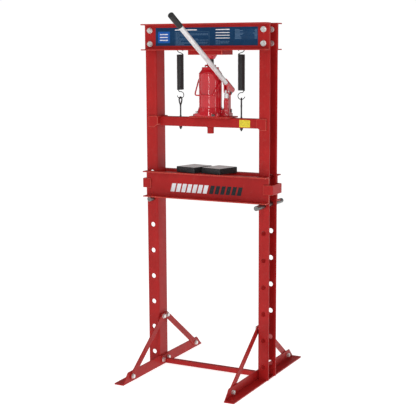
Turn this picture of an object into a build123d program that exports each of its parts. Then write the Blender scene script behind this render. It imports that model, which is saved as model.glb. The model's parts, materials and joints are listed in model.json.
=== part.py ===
from build123d import *
import math
import os

# Hydraulic shop press. Millimetres; origin on the floor at the centre of the frame,
# +X to the right, -Y to the front, +Z up. Right-hand pieces are mirrored to the left.

# ---- frame -------------------------------------------------------------------
FRAME_TOP = 1500.0
STEEL = 5.0                     # sheet thickness of uprights, beams, bed and feet
BEND_R = 8.0                    # outer radius of a folded corner

UPRIGHT_WEB = 240.0             # inward face of an upright's web, from the centre
UPRIGHT_DEPTH = 50.0            # web face to flange tips
UPRIGHT_WIDTH = 80.0            # front flange to rear flange
UPRIGHT_HALF = UPRIGHT_WIDTH / 2

PIN_X = 265.0
PIN_D = 21.0
PIN_HOLE_D = 21.2
PIN_PITCH = 115.0
PIN_HOLES = 8
PIN_TOP_Z = 868.0
PIN_Z = PIN_TOP_Z - PIN_PITCH   # the row the bed stands on
PIN_LENGTH = 264.0
PIN_RIGHT_Y = 15.0              # middle of the right pin
PIN_LEFT_Y = 62.0               # middle of the left pin, pushed further back

HEAD_HEIGHT = 110.0
HEAD_DEPTH = 41.0
HEAD_HALF_LENGTH = 290.0
HEAD_BOLT_X = 264.0
HEAD_BOLT_Z = (1417.0, 1473.0)
HEAD_PLATE = (160.0, 104.0, 19.0)
HEAD_BOTTOM = FRAME_TOP - HEAD_HEIGHT
HEAD_PLATE_BOTTOM = HEAD_BOTTOM - HEAD_PLATE[2]

HANGER_D = 10.0
HANGER_Z = 1402.0

# ---- fasteners: shank and hole radius, flats, head and nut height, washers as (radius, thickness)
M12 = {"r": 6.0, "hole": 6.5, "flats": 19.0, "head": 7.5, "nut": 10.0,
       "washer": (12.0, 2.5), "back": (11.5, 2.0)}
M10 = {"r": 5.0, "hole": 5.5, "flats": 16.0, "head": 6.4, "nut": 8.0,
       "washer": (10.0, 2.0), "back": (9.0, 2.0)}
M8 = {"r": 4.0, "hole": 4.5, "flats": 13.0, "head": 5.3, "nut": 6.5,
      "washer": (8.0, 1.6), "back": (7.5, 1.2)}
HEAD_BOLT_LENGTH = 24.0
THREAD_GAP = 0.1                # nut bore over the shank
LOWER_BOLT_SPARE = 12.0         # shank beyond the joint's far face
HOLD_DOWN_LENGTH = 24.0

# ---- feet, tie bar and braces ------------------------------------------------
FOOT_X = 235.0                  # inward face of the foot's standing leg
FOOT_LEG = 45.0
FOOT_LENGTH = 710.0
FOOT_CUT = 40.0                 # how far the ends of the standing leg slope back
ANCHOR_X = 258.0
ANCHOR_Y = 325.0
ANCHOR_D = 12.0
FOOT_BOLT_Y = 23.0
FOOT_BOLT_Z = 25.0

TIE_LEG = 20.0
TIE_THICK = 3.0
TIE_FRONT_Y = -8.0
TIE_BOTTOM_Z = 6.0
TAB_THICK = 4.0
TAB_WIDTH = 70.0
TAB_HEIGHT = 34.0
TAB_BOTTOM_Z = 8.0

BRACE_WIDTH = 28.0
BRACE_THICK = 5.0
BRACE_LOW = (286.0, 24.0)       # y, z of the bolt at the foot
BRACE_HIGH = (17.0, 223.0)      # y, z of the bolt at the upright
SPACER_R = 9.0

# ---- bed ---------------------------------------------------------------------
BED_HALF_LENGTH = 291.0
BED_HEIGHT = 112.0
BED_WEB_Y = 41.0
BED_DEPTH = 38.0
BED_BOTTOM = PIN_Z + PIN_D / 2 + 0.3
BED_TOP = BED_BOTTOM + BED_HEIGHT
STRAP_END_X = 309.0
STRAP_START_X = 267.0
STRAP_Z = (801.0, 841.0)
BLOCK_SIZE = (102.0, 115.0, 25.0)
BLOCK_TURN = -14.0
BLOCK_LEFT = (-79.0, -1.0)
BLOCK_RIGHT = (41.0, 0.0)

# ---- carriage ----------------------------------------------------------------
BEAM_SIZE = 40.0
BEAM_WALL = 3.0
BEAM_CORNER = 4.0
BEAM_HALF_LENGTH = 233.0
BEAM_TOP = 1110.0
BEAM_BOTTOM = BEAM_TOP - BEAM_SIZE
GUIDE_WEB_X = 233.0
GUIDE_THICK = 5.0
GUIDE_REACH_X = 277.0
GUIDE_EAR_Y = 41.0
GUIDE_Z = (1065.0, 1112.0)
GUIDE_CUT = (17.0, 12.0)        # corner cut off below the beam: along x, up z
PUNCH_D = 28.0
PUNCH_BOTTOM = 1042.0
JACK_PLATE_X = (-80.0, 108.0)
JACK_PLATE_HALF_Y = 45.0
JACK_PLATE_THICK = 6.0
JACK_Z = BEAM_TOP + JACK_PLATE_THICK
RUN_GAP = 0.08                  # radial clearance of a sliding fit

# ---- springs -----------------------------------------------------------------
SPRING_X = 144.0
SPRING_WIRE_R = 1.75
SPRING_COIL_R = 13.25           # centre of the wire
SPRING_PITCH = 3.56
SPRING_TURNS = 41.5
SPRING_BORE_R = 11.9
SPRING_RIB = 0.9                # depth of the groove between turns
SPRING_BOTTOM = 1224.4
HOOK_R = 14.2
HOOK_TURN = 27.0                # lower hook's plane, from the X axis
UPPER_HOOK_SWEEP = 225.0
LOWER_HOOK_SWEEP = 170.0
HOOK_GAP = 0.35                 # hook to the bar it pulls on
EYE_ROD_R = 3.2
EYE_RING_R = 11.0
EYE_Z = 1182.0
EYE_LOW_Z = 1161.5              # where the drawn-out eye meets its stem
EYE_TURN = {-1: -2.0, 1: 27.0}  # which way each eye faces
EYE_STEP = 6.0                  # full shank diameter goes this far above the beam
EYE_END_Z = 1056.0

# ---- jack --------------------------------------------------------------------
BODY_R = 49.0
BODY_WALL = 4.0
BODY_TOP = 1292.0
BASE_TOP = 1150.0
BASE_PLATE_TOP = JACK_Z + 12.0
SKIRT_R = 56.0
LUG_X = -66.0
LUG_W = 32.0
LUG_THICK = 7.0
NECK_R = 35.0
NECK_TOP = 1320.0
RAM_R = 24.0
RAM_TOP = 1330.0
RAM_BOTTOM = 1138.0
RAM_BORE_BOTTOM = 1172.0
CYLINDER_R = 31.0
SCREW_R = 15.5
SCREW_BOTTOM = 1198.0
SCREW_TOP = 1354.0
SADDLE_TOP = HEAD_PLATE_BOTTOM - 0.2
SADDLE_R = 28.0
SADDLE_NECK_R = 19.0
SADDLE_STUD_R = 9.0

PUMP_X = 72.0
PUMP_Y = 5.0
PUMP_R = 11.0
PUMP_TOP = 1192.0
PLUNGER_R = 9.0
PLUNGER_BOTTOM = 1152.0
PLUNGER_TANG = (8.0, 15.0)      # thickness along x, width along y
PIVOT_R = 4.0
PLUNGER_PIVOT = (5.0, 1220.0)   # y, z
FULCRUM = (31.0, 1212.0)        # y, z
LINK_FOOT_Z = 1138.0
LINK_R = 8.0
LINK_THICK = 9.2                # runs between the cheeks
CHEEK_THICK = 4.0
CHEEK_GAP = 5.0                 # pump centre plane to a cheek's inner face
PIN_SLOT = 2.2                  # half travel of the plunger pin along its slot
PIN_PLAY = 0.7

HANDLE_TILT = 29.6
HANDLE_START = (1.0, 1255.5)    # y, z where the handle leaves the socket
SOCKET_R = 13.5
SOCKET_LENGTH = 66.0
SOCKET_LIP = 14.0               # upper side of the socket reaches this much further
HANDLE_R = 10.0
HANDLE_WALL = 2.0
HANDLE_IN = 60.0                # length inside the socket
GRIP_START = 456.0
GRIP_END = 538.0
GRIP_R = 12.0

BAIL_R = 3.0
BAIL_X = 54.5
BAIL_END_X = 45.6               # ends of the wire, inside the bosses
BAIL_BEND = 12.0
BAIL_EAR_BEND = 4.0
BAIL_PIVOT_Z = 1270.0
BAIL_BAR = (-55.5, 1204.0)      # y, z of the cross bar
BAIL_BAR_X = 46.0
VALVE_X = 42.0
VALVE_Z = 1123.0
VALVE_R = 5.0


# ---- helpers -----------------------------------------------------------------
def block(x0, x1, y0, y1, z0, z1):
    """Box between two corners."""
    centre = ((x0 + x1) / 2, (y0 + y1) / 2, (z0 + z1) / 2)
    return Pos(*centre) * Box(x1 - x0, y1 - y0, z1 - z0)


def rod_x(y, z, x0, x1, r):
    return Pos((x0 + x1) / 2, y, z) * Rot(0, 90, 0) * Cylinder(r, x1 - x0)


def rod_y(x, z, y0, y1, r):
    return Pos(x, (y0 + y1) / 2, z) * Rot(90, 0, 0) * Cylinder(r, y1 - y0)


def rod_z(x, y, z0, z1, r):
    return Pos(x, y, (z0 + z1) / 2) * Cylinder(r, z1 - z0)


def turned(points, x=0.0, y=0.0):
    """Body of revolution about a vertical line, from (radius, z) points."""
    outline = Plane.XZ * make_face(Polyline(*points, close=True))
    return Pos(x, y, 0) * revolve(outline, Axis.Z)


def yz_plate(x0, x1, points):
    """Flat plate with a polygon outline in Y and Z."""
    outline = make_face(Polyline(*points, close=True))
    return extrude(Plane.YZ.offset(x0) * outline, amount=x1 - x0)


def channel_section(depth, width):
    """U-section: web on the local Y axis, flanges along local +X."""
    outer = Rectangle(depth, width, align=(Align.MIN, Align.CENTER))
    outer = fillet(outer.vertices().group_by(Axis.X)[0], BEND_R)
    inner = Pos(STEEL, 0) * Rectangle(depth, width - 2 * STEEL, align=(Align.MIN, Align.CENTER))
    inner = fillet(inner.vertices().group_by(Axis.X)[0], BEND_R - STEEL)
    return outer - inner


def front_channel(half_length, depth, height, web_y, bottom):
    """Channel along X in front of the uprights, open to the front."""
    start = Plane((-half_length, -web_y, bottom + height / 2), x_dir=(0, -1, 0), z_dir=(1, 0, 0))
    return extrude(start * channel_section(depth, height), amount=2 * half_length)


def to_rear(part):
    return mirror(part, Plane.XZ)


def to_left(part):
    return mirror(part, Plane.YZ)


def hexagon(across_flats, height):
    return extrude(RegularPolygon(across_flats / 2, 6, major_radius=False), amount=height)


def bolt(size, length):
    """Bolt along local Z: face of the joint at 0, shank below it, washer and head above."""
    washer_r, washer_t = size["washer"]
    ring = extrude(Circle(washer_r), amount=washer_t)
    cap = Pos(0, 0, washer_t) * hexagon(size["flats"], size["head"])
    crown_centre = washer_t + size["head"] / 2 - size["r"]
    cap = cap & Pos(0, 0, crown_centre) * Sphere(size["flats"] * 0.75)
    shank = Pos(0, 0, -length / 2) * Cylinder(size["r"], length)
    return ring + cap + shank


def nut(size):
    """Washer and nut along local Z with the face of the joint at 0."""
    washer_r, washer_t = size["back"]
    height = washer_t + size["nut"]
    body = extrude(Circle(washer_r), amount=washer_t)
    body += Pos(0, 0, washer_t) * hexagon(size["flats"], size["nut"])
    return body - Pos(0, 0, height / 2) * Cylinder(size["r"] + THREAD_GAP, height + 2)


def group(parts):
    """Separate solids kept together as one node."""
    solids = [solid for part in parts for solid in part.solids()]
    return Compound(children=solids)


FACE_FRONT = Rot(90, 0, 0)      # turns local +Z towards -Y
FACE_REAR = Rot(-90, 0, 0)      # towards +Y
FACE_RIGHT = Rot(0, 90, 0)      # towards +X
FACE_LEFT = Rot(0, -90, 0)      # towards -X
FACE_DOWN = Rot(180, 0, 0)

nodes = {}


# ---- uprights ----------------------------------------------------------------
def make_upright():
    section = Plane((UPRIGHT_WEB, 0, STEEL)) * channel_section(UPRIGHT_DEPTH, UPRIGHT_WIDTH)
    part = extrude(section, amount=FRAME_TOP - STEEL)
    for i in range(PIN_HOLES):
        part -= rod_y(PIN_X, PIN_TOP_Z - i * PIN_PITCH, -50, 50, PIN_HOLE_D / 2)
    for z in HEAD_BOLT_Z:
        part -= rod_y(HEAD_BOLT_X, z, -50, 50, M12["hole"])
    for side in (-1, 1):
        part -= rod_x(side * FOOT_BOLT_Y, FOOT_BOLT_Z, 230, 250, M10["hole"])
        part -= rod_x(side * BRACE_HIGH[0], BRACE_HIGH[1], 230, 250, M10["hole"])
    return part


nodes["upright_right"] = make_upright()
nodes["upright_left"] = to_left(nodes["upright_right"])


# ---- head --------------------------------------------------------------------
def make_head_beam():
    part = front_channel(HEAD_HALF_LENGTH, HEAD_DEPTH, HEAD_HEIGHT, UPRIGHT_HALF, HEAD_BOTTOM)
    for x in (-HEAD_BOLT_X, HEAD_BOLT_X):
        for z in HEAD_BOLT_Z:
            part -= rod_y(x, z, -50, -30, M12["hole"])
    return part


nodes["head_beam_front"] = make_head_beam()
nodes["head_beam_rear"] = to_rear(nodes["head_beam_front"])

head_plate = block(-HEAD_PLATE[0] / 2, HEAD_PLATE[0] / 2, -HEAD_PLATE[1] / 2, HEAD_PLATE[1] / 2,
                   HEAD_PLATE_BOTTOM, HEAD_BOTTOM)
nodes["head_plate"] = chamfer(head_plate.edges().filter_by(Axis.Z), 2)

head_bolts = []
head_nuts = []
for x in (-HEAD_BOLT_X, HEAD_BOLT_X):
    for z in HEAD_BOLT_Z:
        front = UPRIGHT_HALF + STEEL
        inside = UPRIGHT_HALF - STEEL
        head_bolts.append(Pos(x, -front, z) * FACE_FRONT * bolt(M12, HEAD_BOLT_LENGTH))
        head_bolts.append(Pos(x, front, z) * FACE_REAR * bolt(M12, HEAD_BOLT_LENGTH))
        head_nuts.append(Pos(x, -inside, z) * FACE_REAR * nut(M12))
        head_nuts.append(Pos(x, inside, z) * FACE_FRONT * nut(M12))
nodes["head_bolts"] = group(head_bolts)
nodes["head_nuts"] = group(head_nuts)

nodes["spring_hangers"] = group([
    rod_y(side * SPRING_X, HANGER_Z, -UPRIGHT_HALF, UPRIGHT_HALF, HANGER_D / 2)
    for side in (-1, 1)
])


# ---- feet --------------------------------------------------------------------
def make_foot():
    half = FOOT_LENGTH / 2
    slope_end = half - STEEL
    slope_top = slope_end - FOOT_CUT
    standing = yz_plate(FOOT_X, FOOT_X + STEEL, [
        (-half, 0), (half, 0), (half, STEEL), (slope_end, STEEL), (slope_top, FOOT_LEG),
        (-slope_top, FOOT_LEG), (-slope_end, STEEL), (-half, STEEL)])
    floor_leg = block(FOOT_X, FOOT_X + FOOT_LEG, -half, half, 0, STEEL)
    outer_corners = floor_leg.edges().filter_by(Axis.Z).group_by(Axis.X)[-1]
    part = fillet(outer_corners, 4) + standing
    for side in (-1, 1):
        part -= rod_z(ANCHOR_X, side * ANCHOR_Y, -5, 10, ANCHOR_D / 2)
        part -= rod_x(side * FOOT_BOLT_Y, FOOT_BOLT_Z, 230, 250, M10["hole"])
        part -= rod_x(side * BRACE_LOW[0], BRACE_LOW[1], 230, 250, M10["hole"])
    return part


nodes["foot_right"] = make_foot()
nodes["foot_left"] = to_left(nodes["foot_right"])


def make_tie_bar():
    inner = FOOT_X - TAB_THICK
    tie_top = TIE_BOTTOM_Z + TIE_LEG
    front_leg = block(-inner, inner, TIE_FRONT_Y, TIE_FRONT_Y + TIE_THICK, TIE_BOTTOM_Z, tie_top)
    top_leg = block(-inner, inner, TIE_FRONT_Y, TIE_FRONT_Y + TIE_LEG, tie_top - TIE_THICK, tie_top)
    tab = block(inner, FOOT_X, -TAB_WIDTH / 2, TAB_WIDTH / 2, TAB_BOTTOM_Z, TAB_BOTTOM_Z + TAB_HEIGHT)
    tab = fillet(tab.edges().filter_by(Axis.X), 5)
    for side in (-1, 1):
        tab -= rod_x(side * FOOT_BOLT_Y, FOOT_BOLT_Z, 225, 240, M10["hole"])
    return front_leg + top_leg + tab + to_left(tab)


nodes["tie_bar"] = make_tie_bar()


def make_brace():
    """Right-hand front brace, on the inward side of the foot and upright."""
    run = BRACE_LOW[0] - BRACE_HIGH[0]
    rise = BRACE_HIGH[1] - BRACE_LOW[1]
    middle = (FOOT_X - BRACE_THICK, -(BRACE_LOW[0] + BRACE_HIGH[0]) / 2, (BRACE_LOW[1] + BRACE_HIGH[1]) / 2)
    along = Plane(middle, x_dir=(0, run, rise), z_dir=(1, 0, 0))
    length = math.hypot(run, rise)
    outline = SlotCenterToCenter(length, BRACE_WIDTH)
    for end in (-1, 1):
        outline -= Pos(end * length / 2, 0) * Circle(M10["hole"])
    return extrude(along * outline, amount=BRACE_THICK)


brace = make_brace()
nodes["brace_right_front"] = brace
nodes["brace_right_rear"] = to_rear(brace)
nodes["brace_left_front"] = to_left(brace)
nodes["brace_left_rear"] = to_rear(to_left(brace))

brace_inner = FOOT_X - BRACE_THICK
right_bolts = []
right_nuts = []
right_spacers = []
for side in (-1, 1):
    low = (side * BRACE_LOW[0], BRACE_LOW[1])
    high = (side * BRACE_HIGH[0], BRACE_HIGH[1])
    tie = (side * FOOT_BOLT_Y, FOOT_BOLT_Z)
    joints = ((low, brace_inner, FOOT_X + STEEL), (high, brace_inner, UPRIGHT_WEB + STEEL),
              (tie, FOOT_X - TAB_THICK, UPRIGHT_WEB + STEEL))
    for (y, z), near, far in joints:
        right_bolts.append(Pos(near, y, z) * FACE_LEFT * bolt(M10, far - near + LOWER_BOLT_SPARE))
        right_nuts.append(Pos(far, y, z) * FACE_RIGHT * nut(M10))
    spacer = rod_x(*high, FOOT_X, UPRIGHT_WEB, SPACER_R) - rod_x(*high, 230, 250, M10["hole"])
    right_spacers.append(spacer)
nodes["lower_bolts"] = group(right_bolts + [to_left(part) for part in right_bolts])
nodes["lower_nuts"] = group(right_nuts + [to_left(part) for part in right_nuts])
nodes["brace_spacers"] = group(right_spacers + [to_left(part) for part in right_spacers])


# ---- bed ---------------------------------------------------------------------
nodes["bed_channel_front"] = front_channel(BED_HALF_LENGTH, BED_DEPTH, BED_HEIGHT, BED_WEB_Y, BED_BOTTOM)
nodes["bed_channel_rear"] = to_rear(nodes["bed_channel_front"])


def make_strap():
    inner_y = BED_WEB_Y + STEEL
    outer = block(STRAP_START_X, STRAP_END_X, -inner_y - STEEL, inner_y + STEEL, *STRAP_Z)
    outer = fillet(outer.edges().filter_by(Axis.Z).group_by(Axis.X)[-1], BEND_R)
    inner = block(STRAP_START_X - 5, STRAP_END_X - STEEL, -inner_y, inner_y, STRAP_Z[0] - 1, STRAP_Z[1] + 1)
    inner = fillet(inner.edges().filter_by(Axis.Z).group_by(Axis.X)[-1], BEND_R - STEEL)
    return outer - inner


nodes["bed_strap_right"] = make_strap()
nodes["bed_strap_left"] = to_left(nodes["bed_strap_right"])


def make_bed_pin(x, middle_y):
    pin = rod_y(x, PIN_Z, middle_y - PIN_LENGTH / 2, middle_y + PIN_LENGTH / 2, PIN_D / 2)
    return chamfer(pin.edges().filter_by(GeomType.CIRCLE), 1.5)


nodes["bed_pin_right"] = make_bed_pin(PIN_X, PIN_RIGHT_Y)
nodes["bed_pin_left"] = make_bed_pin(-PIN_X, PIN_LEFT_Y)


def make_press_block(centre):
    plate = Box(*BLOCK_SIZE)
    plate = chamfer(plate.edges(), 1.5)
    return Pos(centre[0], centre[1], BED_TOP + BLOCK_SIZE[2] / 2) * Rot(0, 0, BLOCK_TURN) * plate


nodes["press_block_left"] = make_press_block(BLOCK_LEFT)
nodes["press_block_right"] = make_press_block(BLOCK_RIGHT)


# ---- carriage ----------------------------------------------------------------
def make_carriage_beam():
    inside = BEAM_SIZE - 2 * BEAM_WALL
    start = Plane((-BEAM_HALF_LENGTH, 0, BEAM_TOP - BEAM_SIZE / 2), x_dir=(0, 1, 0), z_dir=(1, 0, 0))
    section = RectangleRounded(BEAM_SIZE, BEAM_SIZE, BEAM_CORNER)
    section -= RectangleRounded(inside, inside, BEAM_CORNER - BEAM_WALL)
    part = extrude(start * section, amount=2 * BEAM_HALF_LENGTH)
    for side in (-1, 1):
        part -= rod_z(side * SPRING_X, 0, BEAM_BOTTOM - 5, BEAM_TOP + 5, M8["r"] + 0.2)
    part -= rod_z(LUG_X, 0, BEAM_TOP - 2 * BEAM_WALL, BEAM_TOP + 1, M8["hole"])
    return part


nodes["carriage_beam"] = make_carriage_beam()


def make_guide():
    web_out = GUIDE_WEB_X + GUIDE_THICK
    ear_out = GUIDE_EAR_Y + GUIDE_THICK
    part = block(GUIDE_WEB_X, GUIDE_REACH_X, -ear_out, ear_out, *GUIDE_Z)
    part -= block(web_out, GUIDE_REACH_X + 1, -GUIDE_EAR_Y, GUIDE_EAR_Y, GUIDE_Z[0] - 1, GUIDE_Z[1] + 1)
    wedge = Plane.XZ * make_face(Polyline(
        (GUIDE_WEB_X - 1, GUIDE_Z[0] - 1), (GUIDE_WEB_X + GUIDE_CUT[0], GUIDE_Z[0] - 1),
        (GUIDE_WEB_X + GUIDE_CUT[0], GUIDE_Z[0]), (GUIDE_WEB_X, GUIDE_Z[0] + GUIDE_CUT[1]),
        (GUIDE_WEB_X - 1, GUIDE_Z[0] + GUIDE_CUT[1]), close=True))
    return part - extrude(wedge, amount=60, both=True)


nodes["carriage_guide_right"] = make_guide()
nodes["carriage_guide_left"] = to_left(nodes["carriage_guide_right"])

jack_plate = block(*JACK_PLATE_X, -JACK_PLATE_HALF_Y, JACK_PLATE_HALF_Y, BEAM_TOP, JACK_Z)
jack_plate = fillet(jack_plate.edges().filter_by(Axis.Z), 3)
nodes["jack_plate"] = jack_plate - rod_z(LUG_X, 0, BEAM_TOP - 1, JACK_Z + 1, M8["hole"])

punch = rod_z(0, 0, PUNCH_BOTTOM, BEAM_BOTTOM, PUNCH_D / 2)
nodes["punch"] = chamfer(punch.edges().filter_by(GeomType.CIRCLE).group_by(Axis.Z)[0], 1.2)


def make_eye():
    """Closed wire eye in the YZ plane: round at the top, its sides drawn straight down to the stem."""
    half_point = math.degrees(math.acos(EYE_RING_R / (EYE_Z - EYE_LOW_Z)))
    first = half_point - 90
    side_y = EYE_RING_R * math.cos(math.radians(first))
    side_z = EYE_Z + EYE_RING_R * math.sin(math.radians(first))
    low_point = (0, 0, EYE_LOW_Z)
    front_point = (0, -side_y, side_z)
    rear_point = (0, side_y, side_z)
    round_top = ThreePointArc(rear_point, (0, 0, EYE_Z + EYE_RING_R), front_point)
    part = Part()
    for edge in (Line(low_point, rear_point), round_top, Line(front_point, low_point)):
        part += sweep(Plane(origin=edge @ 0, z_dir=edge % 0) * Circle(EYE_ROD_R), path=edge)
    return part


eye_bolts = []
eye_nuts = []
for side in (-1, 1):
    eye = Rot(0, 0, EYE_TURN[side]) * make_eye()
    shank = rod_z(0, 0, EYE_END_Z, BEAM_TOP + EYE_STEP, M8["r"])
    shank = chamfer(shank.edges().filter_by(GeomType.CIRCLE).group_by(Axis.Z)[0], 2)
    stem = rod_z(0, 0, BEAM_TOP + EYE_STEP, EYE_LOW_Z, EYE_ROD_R)
    eye_bolts.append(Pos(side * SPRING_X, 0, 0) * (shank + stem + eye))
    nut_at = Pos(side * SPRING_X, 0, BEAM_BOTTOM) * FACE_DOWN
    eye_nuts.append(nut_at * nut(M8))
nodes["eye_bolts"] = group(eye_bolts)
nodes["eye_nuts"] = group(eye_nuts)


# ---- return springs ----------------------------------------------------------
def make_hook(side, coil_z, centre_z, sweep_angle):
    """Wire that leaves the coil on one side and bends into an open loop in the XZ plane."""
    straight = rod_z(side * HOOK_R, 0, min(coil_z, centre_z), max(coil_z, centre_z), SPRING_WIRE_R)
    section = Plane.XY * Pos(side * HOOK_R, 0) * Circle(SPRING_WIRE_R)
    loop = revolve(section, Axis.Y, sweep_angle)
    return straight + Pos(0, 0, centre_z) * loop


def make_spring():
    """Close-wound spring about the Z axis; its touching turns are one ribbed sleeve."""
    outer_r = SPRING_COIL_R + SPRING_WIRE_R
    top = SPRING_BOTTOM + SPRING_TURNS * SPRING_PITCH
    ribs = []
    for i in range(math.ceil(SPRING_TURNS)):
        z = SPRING_BOTTOM + i * SPRING_PITCH
        ribs += [(outer_r, z), (outer_r - SPRING_RIB, z + SPRING_PITCH / 2)]
    low_end = [(SPRING_BORE_R, SPRING_BOTTOM - SPRING_WIRE_R), (SPRING_COIL_R, SPRING_BOTTOM - SPRING_WIRE_R)]
    high_end = [(outer_r, top), (SPRING_COIL_R, top + SPRING_WIRE_R), (SPRING_BORE_R, top + SPRING_WIRE_R)]
    part = turned([*low_end, *ribs, *high_end])
    upper_z = HANGER_Z + HANGER_D / 2 + HOOK_GAP + SPRING_WIRE_R - HOOK_R
    lower_z = EYE_Z + EYE_RING_R - EYE_ROD_R - HOOK_GAP - SPRING_WIRE_R + HOOK_R
    part += make_hook(-1, top - SPRING_PITCH, upper_z, UPPER_HOOK_SWEEP)
    part += Rot(0, 0, HOOK_TURN) * make_hook(1, SPRING_BOTTOM + SPRING_PITCH, lower_z, LOWER_HOOK_SWEEP)
    return part


spring = make_spring()
nodes["return_spring_left"] = Pos(-SPRING_X, 0, 0) * spring
nodes["return_spring_right"] = Pos(SPRING_X, 0, 0) * Rot(0, 0, 180) * spring


# ---- jack body ---------------------------------------------------------------
def make_jack_base():
    lug_half_y = LINK_R + 2
    lug_half_x = CHEEK_GAP + CHEEK_THICK
    outline = RectangleRounded(2 * SKIRT_R + 2, 96, 16)
    outline += Pos(PUMP_X / 2, PUMP_Y) * SlotCenterToCenter(PUMP_X, 2 * PUMP_R + 6)
    outline += Pos(PUMP_X, (FULCRUM[0] + lug_half_y) / 2) * RectangleRounded(30, FULCRUM[0] + lug_half_y, 6)
    part = extrude(Plane.XY.offset(JACK_Z) * outline, amount=BASE_PLATE_TOP - JACK_Z)
    part += turned([(0, JACK_Z + 2), (SKIRT_R, JACK_Z + 2), (SKIRT_R, BASE_PLATE_TOP + 6),
                    (BODY_R + 1.5, BASE_TOP), (0, BASE_TOP)])
    lug = Pos(LUG_X / 2, 0) * SlotCenterToCenter(-LUG_X, LUG_W)
    part += extrude(Plane.XY.offset(JACK_Z) * lug, amount=LUG_THICK)
    part += rod_z(PUMP_X, PUMP_Y, JACK_Z + 2, BASE_TOP, PUMP_R + 3)
    part += block(PUMP_X - 34, PUMP_X, PUMP_Y - 10, PUMP_Y + 10, JACK_Z + 2, BASE_TOP - 8)
    # two ears hold the foot of the pump link
    part += block(PUMP_X - lug_half_x, PUMP_X + lug_half_x, FULCRUM[0] - lug_half_y, FULCRUM[0] + lug_half_y,
                  JACK_Z + 2, LINK_FOOT_Z + LINK_R)
    part -= block(PUMP_X - CHEEK_GAP, PUMP_X + CHEEK_GAP,
                  FULCRUM[0] - lug_half_y, FULCRUM[0] + lug_half_y + 1,
                  LINK_FOOT_Z - LINK_R - 1, LINK_FOOT_Z + LINK_R + 1)
    part += rod_y(VALVE_X, VALVE_Z, -54, -30, 7)
    # pockets for the tubes, the ram, the pump, the valve and the pins
    part -= rod_z(0, 0, RAM_BOTTOM - 4, BASE_TOP + 1, CYLINDER_R)
    part -= rod_z(PUMP_X, PUMP_Y, JACK_Z + 8, BASE_TOP + 1, PUMP_R)
    part -= rod_y(VALVE_X, VALVE_Z, -60, -34, VALVE_R + RUN_GAP)
    part -= rod_x(FULCRUM[0], LINK_FOOT_Z, PUMP_X - 20, PUMP_X + 20, PIVOT_R + RUN_GAP)
    part -= rod_z(LUG_X, 0, JACK_Z - 1, BASE_PLATE_TOP + 1, M8["hole"])
    return part


nodes["jack_base"] = make_jack_base()


def make_reservoir():
    part = rod_z(0, 0, BASE_TOP, BODY_TOP, BODY_R)
    for side in (-1, 1):
        part += rod_x(0, BAIL_PIVOT_Z, min(side * 40, side * 50.4), max(side * 40, side * 50.4), 7)
    part -= rod_z(0, 0, BASE_TOP - 1, BODY_TOP + 1, BODY_R - BODY_WALL)
    return part - rod_x(0, BAIL_PIVOT_Z, -60, 60, BAIL_R + RUN_GAP)


nodes["jack_reservoir"] = make_reservoir()

cylinder_bore = RAM_R + RUN_GAP
nodes["jack_cylinder"] = turned([
    (cylinder_bore, RAM_BOTTOM - 4), (CYLINDER_R, RAM_BOTTOM - 4), (CYLINDER_R, BODY_TOP - 6),
    (cylinder_bore, BODY_TOP - 6)])

plug_r = BODY_R - BODY_WALL
jack_head = turned([
    (cylinder_bore, BODY_TOP - 6), (plug_r, BODY_TOP - 6), (plug_r, BODY_TOP), (BODY_R, BODY_TOP),
    (BODY_R, BODY_TOP + 1), (45.5, BODY_TOP + 7), (40.5, BODY_TOP + 13), (NECK_R + 1, BODY_TOP + 19),
    (NECK_R + 1, NECK_TOP - 2), (NECK_R, NECK_TOP), (cylinder_bore, NECK_TOP)])
filler_spot = (-2.0, -30.0)
nodes["jack_head"] = jack_head - rod_z(*filler_spot, NECK_TOP - 7, NECK_TOP + 1, 4.1)
filler = rod_z(*filler_spot, NECK_TOP - 7, NECK_TOP, 4) + rod_z(*filler_spot, NECK_TOP, NECK_TOP + 4.5, 5.5)
nodes["filler_plug"] = chamfer(filler.edges().filter_by(GeomType.CIRCLE).group_by(Axis.Z)[-1], 0.8)

nodes["jack_ram"] = turned([
    (0, RAM_BOTTOM), (RAM_R, RAM_BOTTOM), (RAM_R, RAM_TOP - 2), (RAM_R - 2, RAM_TOP),
    (SCREW_R + RUN_GAP, RAM_TOP), (SCREW_R + RUN_GAP, RAM_BORE_BOTTOM), (0, RAM_BORE_BOTTOM)])

nodes["extension_screw"] = turned([
    (0, SCREW_BOTTOM), (SCREW_R - 2, SCREW_BOTTOM), (SCREW_R, SCREW_BOTTOM + 2), (SCREW_R, SCREW_TOP),
    (SADDLE_STUD_R, SCREW_TOP), (SADDLE_STUD_R, SCREW_TOP + 10), (0, SCREW_TOP + 10)])

nodes["saddle"] = turned([
    (SADDLE_STUD_R + RUN_GAP, SCREW_TOP), (SADDLE_NECK_R, SCREW_TOP), (SADDLE_R - 1, SADDLE_TOP - 5),
    (SADDLE_R, SADDLE_TOP - 3.5), (SADDLE_R, SADDLE_TOP), (SADDLE_R - 6, SADDLE_TOP),
    (SADDLE_R - 8, SADDLE_TOP - 3), (SADDLE_STUD_R + RUN_GAP, SADDLE_TOP - 3)])

# ---- pump --------------------------------------------------------------------
plunger_bore = PLUNGER_R + RUN_GAP
nodes["pump_cylinder"] = turned([
    (0, JACK_Z + 8), (PUMP_R, JACK_Z + 8), (PUMP_R, PUMP_TOP - 9), (PUMP_R - 1.5, PUMP_TOP - 8),
    (PUMP_R - 1.5, PUMP_TOP - 1), (PUMP_R - 2.5, PUMP_TOP), (plunger_bore, PUMP_TOP),
    (plunger_bore, JACK_Z + 13), (0, JACK_Z + 13)], PUMP_X, PUMP_Y)


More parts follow.
